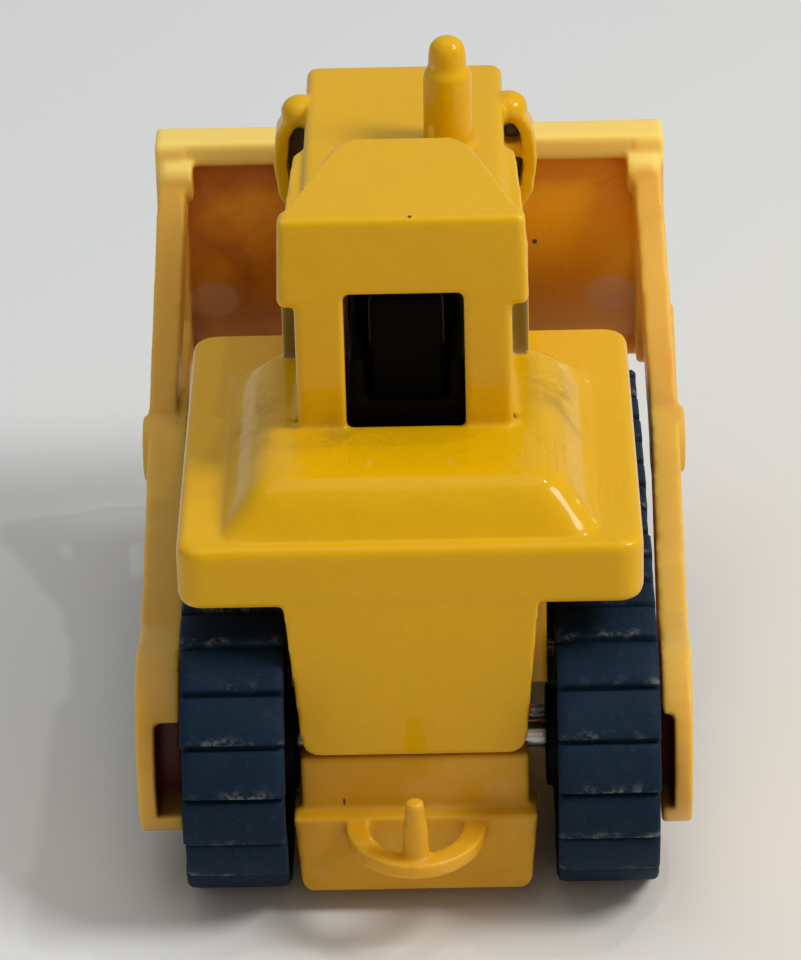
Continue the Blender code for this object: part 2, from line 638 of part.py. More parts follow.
def blade_and_arms(parts, tools):
    """The blade, both push arms with their ears on the rear axle, and the braces, moulded in one."""
    blade = plate(
        "blade_and_arms", mouldboard_outline(), 0, -BLADE_HALF + 0.2, BLADE_HALF - 0.2, parts
    )
    set_origin(blade, (0, REAR_AXLE_Y, AXLE_Z))
    add(
        blade,
        block(
            "top_flange", (-BLADE_HALF, BLADE_REAR + 0.2, BLADE_TOP - 2.4), (BLADE_HALF, 70.6, BLADE_TOP), tools,
            corner=0.5, corner_axis=0, edge=0.3,
        ),
        block("cutting_edge", (-BLADE_HALF + 0.3, 70.0, BLADE_BOTTOM), (BLADE_HALF - 0.3, BLADE_FRONT, 18.4), tools, edge=0.3),
    )
    rear_y, rear_z = ARM_POINTS[0][:2]
    for side, name in ((-1, "left"), (1, "right")):
        knuckle_y, knuckle_z = ARM_POINTS[2][:2]
        head_y, head_z = BRACE_POINTS[1][:2]
        add(
            blade,
            rod(
                f"knuckle_{name}", 2.9, (side * 20.8, knuckle_y, knuckle_z),
                (side * KNUCKLE_OUTER_X, knuckle_y, knuckle_z), tools, sides=24,
            ),
            rod(f"brace_head_{name}", 1.9, (side * 19.4, head_y, head_z), (side * 21.9, head_y, head_z), tools, sides=24),
        )
        spans = [(ARM_INNER_X[name], ARM_OUTER_X, ARM_POINTS[i:i + 2], ARM_SPLAY, rear_y) for i in range(3)]
        spans.append((BRACE_INNER_X, BRACE_OUTER_X, BRACE_POINTS, BRACE_SPLAY, knuckle_y))
        for index, (inner, outer, points, slope, origin) in enumerate(spans):
            start, end = sorted((side * (inner + 0.02 * index), side * (outer - 0.02 * index)))
            bar = plate(f"bar_{name}_{index}", link(points)[::-1], 0, start, end, tools)
            add(blade, splay(bar, side, slope, origin))
        start, end = sorted((side * MOULDBOARD_HALF, side * BLADE_HALF))
        add(
            blade,
            block(
                f"end_plate_{name}", (start, BLADE_REAR, BLADE_BOTTOM + 0.8), (end, 71.2, BLADE_TOP - 0.2), tools,
                corner=0.6, corner_axis=0,
            ),
        )
        start, end = sorted((side * (ARM_INNER_X[name] - 1), side * POCKET_X))
        cut(
            blade,
            rod(
                f"ear_hole_{name}", AXLE_RADIUS + GAP, (side * (ARM_INNER_X[name] - 1), rear_y, rear_z),
                (side * (ARM_OUTER_X - 0.8), rear_y, rear_z), tools, sides=24,
            ),
            block(f"ear_pocket_{name}", (start, rear_y - 9.0, rear_z - 3.4), (end, rear_y - 2.6, rear_z + 4.6), tools),
        )
    finish(blade, YELLOW_PLASTIC, 0.4)


def main():
    clear_scene()
    parts = collection("toy_bulldozer")
    tools = collection("cutters")
    body_casting(parts, tools)
    cab_interior(parts, tools)
    base_chassis(parts, tools)
    rivets(parts)
    for side in (-1, 1):
        track(side, parts)
    running_gear(parts)
    blade_and_arms(parts, tools)


main()
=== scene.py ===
"""The looks of the toy bulldozer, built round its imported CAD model.

Shapes are worked out in millimetres. Places along the toy are counted from the rear face of the fender deck,
as in the CAD, and place() turns them into the frame's metres. The die-cast and moulded pieces start as the
CAD's solids and are skinned again with thick, soft edges. The tracks, wheels and small turned pieces are made
here.
"""

import math
import random

import bmesh
import bpy
from mathutils import Matrix, Vector


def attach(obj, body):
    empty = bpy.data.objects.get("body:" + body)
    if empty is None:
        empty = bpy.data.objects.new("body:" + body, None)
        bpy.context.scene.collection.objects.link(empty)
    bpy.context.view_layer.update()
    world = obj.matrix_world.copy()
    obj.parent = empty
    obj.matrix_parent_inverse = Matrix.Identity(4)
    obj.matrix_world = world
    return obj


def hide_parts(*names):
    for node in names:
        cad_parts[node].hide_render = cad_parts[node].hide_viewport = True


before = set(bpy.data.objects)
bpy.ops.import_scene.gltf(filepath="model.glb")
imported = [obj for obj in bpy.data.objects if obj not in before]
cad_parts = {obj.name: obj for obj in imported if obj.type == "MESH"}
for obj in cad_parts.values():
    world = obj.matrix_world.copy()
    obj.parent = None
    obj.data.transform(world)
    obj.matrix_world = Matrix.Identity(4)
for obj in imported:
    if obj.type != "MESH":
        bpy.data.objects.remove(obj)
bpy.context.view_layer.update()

MM = 0.001
CENTRE_Y = 31.75

# Camera, in millimetres and degrees, fitted to the view of the toy from behind and above.
CAMERA_PLACE = (4.473, -342.289, 216.839)
CAMERA_PITCH = 27.5
CAMERA_AZIMUTH = 0.84
CAMERA_ROLL = -1.475
CAMERA_LENS = 224.7
CAMERA_SENSOR = 36.0

# Studio, in metres: half the floor's side, and the point that the lamps are aimed at.
FLOOR_HALF = 3.0
LAMP_TARGET = (0.0, 0.0, 0.02)

# Running gear, as in the CAD.
AXLE_Z = 12.0
REAR_AXLE_Y = 6.4
FRONT_AXLE_Y = 45.8
TRACK_RADIUS = 12.0
PAD_HEIGHT = 0.8
PAD_COUNT = 36
BELT_INSIDE = 10.2
TRACK_INNER_X = 10.7
TRACK_OUTER_X = 19.0
TRACK_SHIFT = 0.55
WHEEL_RADIUS = 9.9
AXLE_RADIUS = 1.1
ROLLER_RADIUS = 3.6
ROLLER_AXLE_RADIUS = 0.7
ROLLER_YS = (20.6, 31.6)
ROLLER_Z = 5.7
ROLLER_WIDTH = 5.0
ROLLER_INSET = 1.4
WHEEL_BOSS = -0.7
AXLE_REACH = {"rear": 21.2, "front": 18.8}
RIVET_YS = {"rivet_rear": 10.6, "rivet_front": 52.4}
RIVET_Z = 1.6

# Not as in the CAD: the bores fit closer, and the roller axles reach 0.3 further, which takes them past the
# right rollers' faces.
BORE_GAP = 0.05
ROLLER_AXLE_REACH = 17.9

# The casting's upper part, as in the CAD.
HUMP_TOP = 36.8
UPPER_SHIFT = -0.2

# Where the melting of the hump's edges fades in or out: across from the upper part's middle, along and up.
MELT_SIDE_X = (16.2, 17.0)
MELT_CAB_X = (10.8, 11.5)
MELT_CAB_Y = (11.2, 11.9)
MELT_FRONT_Y = (30.5, 32.0)
MELT_FOOT_Z = (32.75, 33.1)
MELT_TOP_Z = (36.95, 37.2)

# Boxes grown into the CAD's solids, each by its low and high corner: the ledges along the hull's two sides,
# the sill under the rear window, and the insert's floor, which closes the gap under the insert.
HULL_LEDGES = (((-9.7, 3.0, 18.6), (-8.5, 38.0, 26.0)), ((8.5, 3.0, 18.6), (10.7, 38.0, 26.0)))
WINDOW_SILL = ((-5.3, 9.2, 35.8), (5.1, 12.9, HUMP_TOP))
INSERT_FLOOR = ((-6.4, 14.1, 34.9), (6.4, 24.2, 37.4))

# The sides that pieces come in, and which way along X each one lies.
SIDES = (("left", -1), ("right", 1))


def place(x, y, z):
    """A point of the toy, in the frame's metres."""
    return Vector((x, y - CENTRE_Y, z)) * MM


# ---------------------------------------------------------------- materials


class Shader:
    """A material's node tree, with short calls for the few kinds of node used here."""

    def __init__(self, name):
        self.material = bpy.data.materials.new(name)
        self.material.use_nodes = True
        self.tree = self.material.node_tree
        self.surface = self.tree.nodes["Principled BSDF"]
        self.where = self.add("ShaderNodeTexCoord").outputs["Object"]

    def add(self, kind, settings=None, **inputs):
        node = self.tree.nodes.new(kind)
        for key, value in (settings or {}).items():
            setattr(node, key, value)
        for key, value in inputs.items():
            self.feed(node.inputs[key.replace("_", " ")], value)
        return node

    def feed(self, socket, value):
        if isinstance(value, bpy.types.NodeSocket):
            self.tree.links.new(value, socket)
        elif hasattr(value, "__len__") and len(value) == 3 and socket.type == "RGBA":
            socket.default_value = (*value, 1.0)
        else:
            socket.default_value = value

    def math(self, operation, first, second=0.0):
        node = self.add("ShaderNodeMath", {"operation": operation})
        self.feed(node.inputs[0], first)
        self.feed(node.inputs[1], second)
        return node.outputs[0]

    def product(self, first, *others):
        for other in others:
            first = self.math("MULTIPLY", first, other)
        return first

    def most(self, first, *others):
        for other in others:
            first = self.math("MAXIMUM", first, other)
        return first

    def stretch(self, scale):
        node = self.add("ShaderNodeMapping", Vector=self.where, Scale=scale)
        return node.outputs["Vector"]

    def noise(self, scale, detail=3.0, roughness=0.55, distortion=0.0, stretch=None):
        """Noise with scale features per metre."""
        vector = self.stretch(stretch) if stretch else self.where
        node = self.add(
            "ShaderNodeTexNoise", Vector=vector, Scale=scale, Detail=detail, Roughness=roughness,
            Distortion=distortion,
        )
        return node.outputs["Fac"]

    def ramp(self, value, low, high):
        """0 below low, 1 above high and smooth between them; low may be the larger of the two."""
        flip = low > high
        node = self.add("ShaderNodeMapRange", {"interpolation_type": "SMOOTHSTEP"}, Value=value)
        node.inputs["From Min"].default_value = min(low, high)
        node.inputs["From Max"].default_value = max(low, high)
        node.inputs["To Min"].default_value = 1.0 if flip else 0.0
        node.inputs["To Max"].default_value = 0.0 if flip else 1.0
        return node.outputs["Result"]

    def axis(self, name):
        """The place along X, Y or Z, in the frame's metres."""
        return self.add("ShaderNodeSeparateXYZ", Vector=self.where).outputs[name]

    def past(self, name, low, high):
        """0 where the toy's X, Y or Z is under low millimetres and 1 over high; low may be the larger."""
        shift = CENTRE_Y if name == "Y" else 0.0
        return self.ramp(self.axis(name), (low - shift) * MM, (high - shift) * MM)

    def past_side(self, low, high):
        """The same for the distance from the toy's middle plane."""
        return self.ramp(self.math("ABSOLUTE", self.axis("X")), low * MM, high * MM)

    def facing_back(self, low, high):
        """1 on faces that look towards -Y: 0 where the normal's Y is over low, 1 where it is under high."""
        normal = self.add("ShaderNodeNewGeometry").outputs["Normal"]
        return self.ramp(self.add("ShaderNodeSeparateXYZ", Vector=normal).outputs["Y"], low, high)

    def line(self, value, width):
        """1 along the contour where value is 0.5, and 0 from width away."""
        return self.ramp(self.math("ABSOLUTE", self.math("SUBTRACT", value, 0.5)), width, 0.0)

    def mix(self, share, first, second):
        node = self.add("ShaderNodeMix", {"data_type": "RGBA"})
        self.feed(node.inputs[0], share)
        self.feed(node.inputs[6], first)
        self.feed(node.inputs[7], second)
        return node.outputs[2]

    def spot(self, centre, radius, squash=(1.0, 1.0, 1.0)):
        """1 at a point of the toy and 0 from radius millimetres away."""
        offset = self.add("ShaderNodeVectorMath", {"operation": "SUBTRACT"})
        self.feed(offset.inputs[0], self.where)
        offset.inputs[1].default_value = place(*centre)
        scaled = self.add("ShaderNodeVectorMath", {"operation": "MULTIPLY"})
        self.feed(scaled.inputs[0], offset.outputs[0])
        scaled.inputs[1].default_value = squash
        length = self.add("ShaderNodeVectorMath", {"operation": "LENGTH"})
        self.feed(length.inputs[0], scaled.outputs[0])
        return self.ramp(length.outputs["Value"], radius * MM, 0.0)

    def corners(self):
        """Geometry's pointiness: over 0.5 on outer edges and under it in inner corners."""
        return self.add("ShaderNodeNewGeometry").outputs["Pointiness"]

    def shelter(self, distance):
        """1 where the surface is closed in within distance millimetres, 0 where it is open."""
        node = self.add("ShaderNodeAmbientOcclusion", {"samples": 6}, Distance=distance * MM)
        return self.math("SUBTRACT", 1.0, node.outputs["AO"])

    def bump(self, layers):
        """Bumps given as (height, depth in millimetres), one over the other."""
        normal = None
        for height, depth in layers:
            node = self.add("ShaderNodeBump", Height=height, Strength=1.0, Distance=depth * MM)
            if normal is not None:
                self.feed(node.inputs["Normal"], normal)
            normal = node.outputs["Normal"]
        self.feed(self.surface.inputs["Normal"], normal)

    def set(self, **inputs):
        for key, value in inputs.items():
            self.feed(self.surface.inputs[key.replace("_", " ")], value)


def enamel():
    """Thick glossy yellow paint: pale where it thins over the edges, darkened by painted shade in the inner
    corners and gaps, and by dirty smudges.
    """
    s = Shader("yellow_enamel")
    colour = s.mix(s.noise(60.0, detail=2.0), (0.72, 0.395, 0.0), (0.78, 0.44, 0.0))
    fine = s.ramp(s.noise(1800.0, detail=3.0), 0.40, 0.75)
    colour = s.mix(s.product(fine, 0.16), colour, (0.86, 0.54, 0.01))
    edge = s.ramp(s.corners(), 0.515, 0.57)
    colour = s.mix(s.product(edge, 0.55), colour, (0.93, 0.66, 0.10))
    # Painted shade in closed-in corners, together with dirty smudges, darkens the paint and makes it rougher.
    shade_and_grime = enamel_shade_and_grime(s)
    colour = s.mix(s.product(shade_and_grime, 0.72), colour, (0.16, 0.125, 0.03))
    # Painted shade, dark olive, in the gaps by the hood's lugs and behind the cab's side windows.
    colour = s.mix(gap_shade(s), colour, (0.085, 0.085, 0.04))
    specks = s.most(s.spot((0.5, 13.1, 55.0), 0.26), s.spot((9.9, 37.1, 47.1), 0.2))
    colour = s.mix(s.ramp(specks, 0.1, 0.5), colour, (0.08, 0.03, 0.01))
    scratches = scratch_lines(s)
    colour = s.mix(s.product(scratches, 0.45), colour, (0.50, 0.33, 0.04))
    gloss = s.math("ADD", 0.22, s.product(s.noise(150.0, detail=5.0), 0.20))
    gloss = s.math("ADD", gloss, s.product(shade_and_grime, 0.35))
    s.set(Base_Color=colour, Roughness=gloss, Coat_Weight=0.40, Coat_Roughness=0.05, Specular_IOR_Level=0.08)
    s.bump((
        (s.noise(330.0, detail=1.5), 0.10),
        (s.noise(1500.0, detail=2.0), 0.018),
        (s.product(scratches, -1.0), 0.02),
    ))
    return s.material


def enamel_shade_and_grime(s):
    """How shaded and dirty the paint is: painted shade in closed-in corners, broken into patches, and dirty
    smudges beside the cab and on the hump's top.
    """
    patches = s.ramp(s.noise(420.0, detail=5.0, roughness=0.7), 0.38, 0.62)
    # Painted shade: darker where the surface is closed in, broken into patches.
    corners = s.product(s.ramp(s.shelter(2.6), 0.38, 0.80), patches)
    left = s.spot((-12.8, 18.0, 35.4), 5.5, (1.0, 0.8, 1.6))
    right = s.spot((12.6, 19.5, 35.4), 6.0, (0.9, 0.8, 1.6))
    behind = s.spot((-7.0, 11.0, HUMP_TOP), 5.5, (0.5, 1.6, 1.0))
    smudges = s.ramp(s.noise(240.0, detail=6.0, roughness=0.72, distortion=0.6), 0.42, 0.62)
    dusty = s.product(s.most(left, right, s.product(behind, 0.7)), smudges)
    return s.most(corners, s.product(dusty, 0.72))


def gap_shade(s):
    """Painted shade: 1 on the web between the hood and each of its lugs, and 0.75 behind the cab's side
    windows.
    """
    web_shade = s.product(
        s.past("Y", 53.9, 54.6), s.facing_back(-0.1, -0.5), s.past_side(10.6, 10.1), s.past("Z", 46.2, 45.4)
    )
    notch_shade = s.product(
        s.past("Y", 24.9, 25.3), s.facing_back(-0.3, -0.7), s.past("Y", 27.0, 26.5), s.past("Z", 46.5, 43.0)
    )
    return s.most(web_shade, s.product(notch_shade, 0.75))


def scratch_lines(s):
    """Fine hair scratches, mostly along the hump's right flank."""
    lines = s.line(s.noise(260.0, detail=2.0, distortion=0.4, stretch=(9.0, 0.7, 5.0)), 0.010)
    flank = s.spot((12.5, 9.0, 34.6), 9.0)
    top = s.spot((-6.0, 8.0, HUMP_TOP), 9.0)
    return s.product(lines, s.most(flank, s.product(top, 0.4)))


def moulded(name, low, high, mark, painted_light=None):
    """Satin yellow plastic that lets a little light in, with one small mark and whatever deep() adds."""
    s = Shader(name)
    colour = s.mix(s.ramp(s.noise(55.0, detail=3.0, distortion=0.8), 0.3, 0.7), low, high)
    cloud = s.ramp(s.noise(300.0, detail=4.0, roughness=0.65), 0.5, 0.8)
    colour = s.mix(s.product(cloud, 0.35), colour, (0.78, 0.50, 0.16))
    if painted_light:
        colour = painted_light(s, colour)
    # Painted shade and soiling: darker where the surface is closed in, in patches.
    shade_and_dirt = s.product(s.ramp(s.shelter(2.0), 0.45, 0.95), s.ramp(s.noise(500.0, 5.0, 0.7), 0.40, 0.62))
    colour = s.mix(s.product(shade_and_dirt, 0.45), colour, (0.20, 0.10, 0.025))
    edge = s.ramp(s.corners(), 0.52, 0.60)
    colour = s.mix(s.product(edge, 0.35), colour, (0.90, 0.62, 0.20))
    colour = s.mix(s.ramp(s.spot(*mark), 0.1, 0.6), colour, (0.13, 0.05, 0.02))
    gloss = s.math("ADD", 0.33, s.product(s.noise(200.0, detail=4.0), 0.2))
    s.set(
        Base_Color=colour, Roughness=gloss, Subsurface_Weight=0.5, Subsurface_Scale=0.0028,
        Subsurface_Radius=(1.0, 0.5, 0.1), Specular_IOR_Level=0.30,
    )
    s.bump(((s.noise(420.0, detail=2.0), 0.05), (s.noise(2200.0, detail=2.0), 0.012)))
    return s.material


def blade_plastic():
    mark = ((11.1, 67.0, 27.8), 0.4, (1.0, 0.3, 1.0))
    return moulded("blade_plastic", (0.74, 0.42, 0.055), (0.82, 0.50, 0.085), mark, blade_painted_light)


def base_plastic():
    mark = ((-5.7, 0.6, 9.6), 0.55, (3.0, 0.3, 1.0))
    return moulded("base_plastic", (0.64, 0.33, 0.006), (0.72, 0.39, 0.015), mark)


def blade_painted_light(s, colour):
    """Adds painted light to the blade: painted shade and glow on its orange back, painted shade in the
    pockets in the arms' ears, and a pale painted glow along its top.
    """
    # Painted shade and glow of light through the plastic over the back of the mouldboard.
    shaded_back = s.product(
        s.past("Y", 66.45, 66.85), s.facing_back(-0.15, -0.5), s.past_side(20.5, 20.0),
        s.past("Z", 36.2, 35.6),
    )
    # Painted shade, dark maroon, in the pockets of the arms' ears.
    pocket_shade = s.product(
        s.past_side(20.9, 20.6), s.past("Y", 4.6, 3.9), s.past("Z", 8.2, 8.9), s.past("Z", 17.0, 16.3)
    )
    colour = s.mix(pocket_shade, colour, (0.17, 0.035, 0.022))
    # A painted glow of light through the plastic along the blade's top.
    top_glow = s.product(s.past("Z", 34.8, 36.2), 0.9)
    colour = s.mix(top_glow, colour, (0.98, 0.70, 0.17))
    return s.mix(shaded_back, colour, blade_back_painted(s))


def blade_back_painted(s):
    """Painted shade and glow of light through the plastic: strong orange, darker on the left and low down,
    with flow lines and a paler pad at each end.
    """
    # Painted shade: darker on the left.
    side = s.past("X", -16.0, 16.0)
    painted_light = s.mix(side, (0.72, 0.29, 0.006), (0.82, 0.38, 0.002))
    swirl = s.ramp(s.noise(90.0, detail=3.0, distortion=1.6), 0.35, 0.7)
    painted_light = s.mix(swirl, painted_light, s.mix(side, (0.50, 0.15, 0.010), (0.82, 0.42, 0.008)))
    flow = s.line(s.noise(60.0, detail=1.0, distortion=2.0), 0.012)
    painted_light = s.mix(s.product(flow, 0.20), painted_light, (0.50, 0.12, 0.004))
    # Painted shade: darker low down.
    low = s.past("Z", 31.0, 22.0)
    painted_light = s.mix(s.product(low, 0.5), painted_light, (0.52, 0.17, 0.001))
    for pad_x in (-18.0, 18.0):
        pad = s.ramp(s.spot((pad_x, 67.0, 22.2), 2.9, (1.0, 0.3, 1.15)), 0.0, 0.25)
        painted_light = s.mix(s.product(pad, 0.6), painted_light, (0.62, 0.36, 0.20))
    return painted_light


def rubber():
    """Dark navy rubber, speckled with dust and rubbed pale along the pads' raised edges."""
    s = Shader("navy_rubber")
    broad = s.noise(110.0, detail=4.0, distortion=0.5)
    colour = s.mix(broad, (0.0030, 0.0125, 0.0290), (0.0080, 0.0240, 0.0500))
    speckle = s.ramp(s.noise(2600.0, detail=3.0, roughness=0.7), 0.56, 0.78)
    colour = s.mix(s.product(speckle, 0.30), colour, (0.06, 0.075, 0.085))
    dust = s.ramp(s.noise(320.0, detail=6.0, roughness=0.75), 0.52, 0.74)
    colour = s.mix(s.product(dust, 0.16), colour, (0.060, 0.068, 0.066))
    worn = s.add("ShaderNodeAttribute", {"attribute_name": "worn"}).outputs["Fac"]
    broken = s.ramp(s.noise(700.0, detail=5.0, roughness=0.75), 0.47, 0.66)
    long_gaps = s.ramp(s.noise(210.0, detail=2.0), 0.40, 0.60)
    colour = s.mix(s.product(worn, broken, long_gaps, 0.75), colour, (0.24, 0.25, 0.235))
    gloss = s.math("ADD", 0.46, s.product(s.noise(260.0, detail=4.0), 0.26))
    s.set(Base_Color=colour, Roughness=gloss, Specular_IOR_Level=0.10)
    s.bump(((s.noise(1800.0, detail=3.0, roughness=0.6), 0.05), (s.noise(420.0, detail=3.0), 0.08)))
    return s.material


def black_plastic(name, base, light):
    """Matt, nearly black plastic with a trace of dust."""
    s = Shader(name)
    colour = s.mix(s.noise(160.0, detail=4.0), base, light)
    dust = s.ramp(s.noise(900.0, detail=5.0, roughness=0.7), 0.56, 0.8)
    colour = s.mix(s.product(dust, 0.12), colour, (0.008, 0.006, 0.004))
    edge = s.ramp(s.corners(), 0.53, 0.62)
    colour = s.mix(s.product(edge, 0.3), colour, (0.010, 0.009, 0.007))
    gloss = s.math("ADD", 0.42, s.product(s.noise(300.0), 0.2))
    s.set(Base_Color=colour, Roughness=gloss, Specular_IOR_Level=0.05)
    s.bump(((s.noise(1500.0, detail=2.0), 0.02),))
    return s.material


def bright_steel():
    """Drawn steel rod, a little tarnished."""
    s = Shader("bright_steel")
    drawn = s.noise(500.0, detail=4.0, stretch=(0.15, 4.0, 4.0))
    colour = s.mix(drawn, (0.42, 0.42, 0.43), (0.64, 0.64, 0.65))
    tarnish = s.ramp(s.noise(700.0, detail=5.0), 0.55, 0.75)
    colour = s.mix(s.product(tarnish, 0.35), colour, (0.22, 0.18, 0.13))
    gloss = s.math("ADD", 0.24, s.product(tarnish, 0.25))
    s.set(Base_Color=colour, Metallic=1.0, Roughness=gloss)
    s.bump(((drawn, 0.008),))
    return s.material


# ---------------------------------------------------------------- shapes


def finish_piece(name, mesh, material, body, nodes):
    """Puts a mesh, already in the frame's metres, on its body in place of its CAD nodes."""
    piece = bpy.data.objects.new(name, mesh)
    bpy.context.scene.collection.objects.link(piece)
    mesh.materials.clear()
    mesh.materials.append(material)
    for polygon in mesh.polygons:
        polygon.use_smooth = True
    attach(piece, body)
    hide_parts(*nodes)


def applied(item):
    """The item's mesh with its modifiers applied. The item itself is removed."""
    bpy.context.view_layer.update()
    graph = bpy.context.evaluated_depsgraph_get()
    mesh = bpy.data.meshes.new_from_object(item.evaluated_get(graph))
    bpy.data.objects.remove(item, do_unlink=True)
    return mesh


def skin(node, voxel, passes, extras=()):
    """A CAD node's solid, with extra solids grown into it, as one fine skin with soft edges."""
    shape = bmesh.new()
    shape.from_mesh(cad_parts[node].data)
    bmesh.ops.remove_doubles(shape, verts=shape.verts, dist=1e-6)
    for extra in extras:
        extra(shape)
    bmesh.ops.scale(shape, vec=(1 / MM,) * 3, verts=shape.verts)
    mesh = bpy.data.meshes.new(node + "_skin")
    shape.to_mesh(mesh)
    shape.free()
    item = bpy.data.objects.new(node + "_skin", mesh)
    bpy.context.scene.collection.objects.link(item)
    remesh = item.modifiers.new("Skin", "REMESH")
    remesh.mode = "VOXEL"
    remesh.voxel_size = voxel
    soften = item.modifiers.new("Soften", "SMOOTH")
    soften.factor = 0.5
    soften.iterations = passes
    mesh = applied(item)
    mesh.transform(Matrix.Scale(MM, 4))
    return mesh


def melt(mesh, area, passes):
    """The mesh, a piece in the frame's metres, smoothed on by many passes where area(x, y, z) is over 0."""
    item = bpy.data.objects.new(mesh.name, mesh)
    bpy.context.scene.collection.objects.link(item)
    group = item.vertex_groups.new(name="melted")
    for vert in mesh.vertices:
        x, y, z = vert.co / MM
        weight = area(x, y + CENTRE_Y, z)
        if weight > 0:
            group.add([vert.index], weight, "REPLACE")
    soften = item.modifiers.new("Melt", "SMOOTH")
    soften.vertex_group = group.name
    soften.factor = 0.5
    soften.iterations = passes
    return applied(item)


def rise(value, low, high):
    """0 below low, 1 above high, straight between them."""
    return min(max((value - low) / (high - low), 0.0), 1.0)


def on_hump(x, y, z):
    """1 over the hump round the cab, 0 on the cab's walls, the cowl and the deck's edges."""
    side = abs(x - UPPER_SHIFT)
    inside = 1.0 - rise(side, *MELT_SIDE_X)
    high = rise(z, *MELT_FOOT_Z) * (1.0 - rise(z, *MELT_TOP_Z))
    behind = 1.0 - rise(y, *MELT_CAB_Y)
    beside = rise(side, *MELT_CAB_X) * (1.0 - rise(y, *MELT_FRONT_Y))
    return inside * high * max(behind, beside)


def soften_outline(points, radius):
    """An open outline with each inner corner rounded to about the radius."""
    steps = 3
    rounded = [points[0]]
    for before, corner, after in zip(points, points[1:], points[2:]):
        corner, before, after = Vector(corner), Vector(before), Vector(after)
        reach = min(radius, (before - corner).length * 0.45, (after - corner).length * 0.45)
        start = corner + (before - corner).normalized() * reach
        end = corner + (after - corner).normalized() * reach
        for i in range(steps + 1):
            t = i / steps
            point = start * (1 - t) ** 2 + corner * 2 * t * (1 - t) + end * t**2
            rounded.append((point.x, point.y))
    rounded.append(points[-1])
    return rounded


def lathe(name, outline, centre, direction, steps, closed=False):
    """An outline of (radius, distance) turned about the line through centre that points in direction."""
    shape = bmesh.new()
    turn = Vector(direction).to_track_quat("Z", "Y").to_matrix()
    middle = place(*centre)
    rings = []
    for radius, distance in outline:
        if radius < 1e-6:
            rings.append([shape.verts.new(middle + turn @ Vector((0, 0, distance * MM)))])
            continue
        ring = []
        for i in range(steps):
            angle = 2 * math.pi * i / steps
            offset = Vector((radius * math.cos(angle), radius * math.sin(angle), distance)) * MM
            ring.append(shape.verts.new(middle + turn @ offset))
        rings.append(ring)
    pairs = list(zip(rings, rings[1:]))
    if closed:
        pairs.append((rings[-1], rings[0]))
    for first, second in pairs:
        for i in range(steps):
            j = (i + 1) % steps
            # A ring on the axis has a single point, so its faces are triangles.
            corners = [first[i % len(first)], first[j % len(first)]]
            corners += [second[j % len(second)], second[i % len(second)]]
            shape.faces.new(list(dict.fromkeys(corners)))
    bmesh.ops.recalc_face_normals(shape, faces=shape.faces)
    mesh = bpy.data.meshes.new(name)
    shape.to_mesh(mesh)
    shape.free()
    return mesh


def slab(low, high):
    """A function that adds a box to a solid."""

    def grow(shape):
        made = bmesh.ops.create_cube(shape, size=1.0)["verts"]
        size = place(*high) - place(*low)
        bmesh.ops.scale(shape, vec=size, verts=made)
        bmesh.ops.translate(shape, vec=(place(*high) + place(*low)) / 2, verts=made)

    return grow


def track_loop(offset, travel):
    """(y, z) on a loop offset millimetres out from the axles, after that much travel along the pitch line."""
    pitch_radius = TRACK_RADIUS - PAD_HEIGHT
    straight = FRONT_AXLE_Y - REAR_AXLE_Y
    half_turn = math.pi * pitch_radius
    travel %= 2 * (straight + half_turn)
    if travel < straight:
        return REAR_AXLE_Y + travel, AXLE_Z + offset
    travel -= straight
    if travel < half_turn:
        angle = math.pi / 2 - travel / pitch_radius
        return FRONT_AXLE_Y + offset * math.cos(angle), AXLE_Z + offset * math.sin(angle)
    travel -= half_turn
    if travel < straight:
        return FRONT_AXLE_Y - travel, AXLE_Z - offset
    travel -= straight
    angle = -math.pi / 2 - travel / pitch_radius
    return REAR_AXLE_Y + offset * math.cos(angle), AXLE_Z + offset * math.sin(angle)


def belt_rings(draw):
    """A belt's cross sections, one for each station of each pad, as lists of (x, y, z, wear)."""
    loop = 2 * (FRONT_AXLE_Y - REAR_AXLE_Y) + 2 * math.pi * (TRACK_RADIUS - PAD_HEIGHT)
    pitch = loop / PAD_COUNT
    # Each station of a pad: its share of the pitch, how far it lies under the pad's top, and its wear.
    stations = (
        (0.00, 0.78, 0.0), (0.035, 0.72, 0.0), (0.05, 0.40, 0.2), (0.065, 0.12, 0.9), (0.095, 0.02, 1.0),
        (0.15, 0.02, 0.55), (0.25, 0.04, 0.05), (0.45, 0.10, 0.0), (0.65, 0.17, 0.0), (0.82, 0.24, 0.0),
        (0.93, 0.30, 0.0), (0.96, 0.42, 0.0), (0.975, 0.66, 0.0), (0.985, 0.76, 0.0),
    )
    # How far each point of the pad's top lies across the belt, and how far its rounded ends drop there.
    across = {
        0.0: 0.28, 0.03: 0.07, 0.12: 0.0, 0.30: 0.0, 0.5: 0.0, 0.70: 0.0, 0.88: 0.0, 0.97: 0.07, 1.0: 0.28,
    }
    rings = []
    for pad in range(PAD_COUNT):
        trim_in = draw.uniform(0, 0.14)
        trim_out = draw.uniform(0.02, 0.22)
        lift = draw.uniform(0, 0.05)
        for share, drop, wear in stations:
            travel = (pad + share) * pitch
            groove = 0.12 if drop > 0.6 else 0.0
            near = TRACK_INNER_X + trim_in + groove
            far = TRACK_OUTER_X - trim_out - groove
            inside = track_loop(BELT_INSIDE, travel)
            ring = [(near, *inside, 0.0), (far, *inside, 0.0)]
            for step, rounding in reversed(across.items()):
                top = max(TRACK_RADIUS - drop - lift - rounding, BELT_INSIDE + 0.5)
                ring.append((near + (far - near) * step, *track_loop(top, travel), wear))
            rings.append(ring)
    return rings


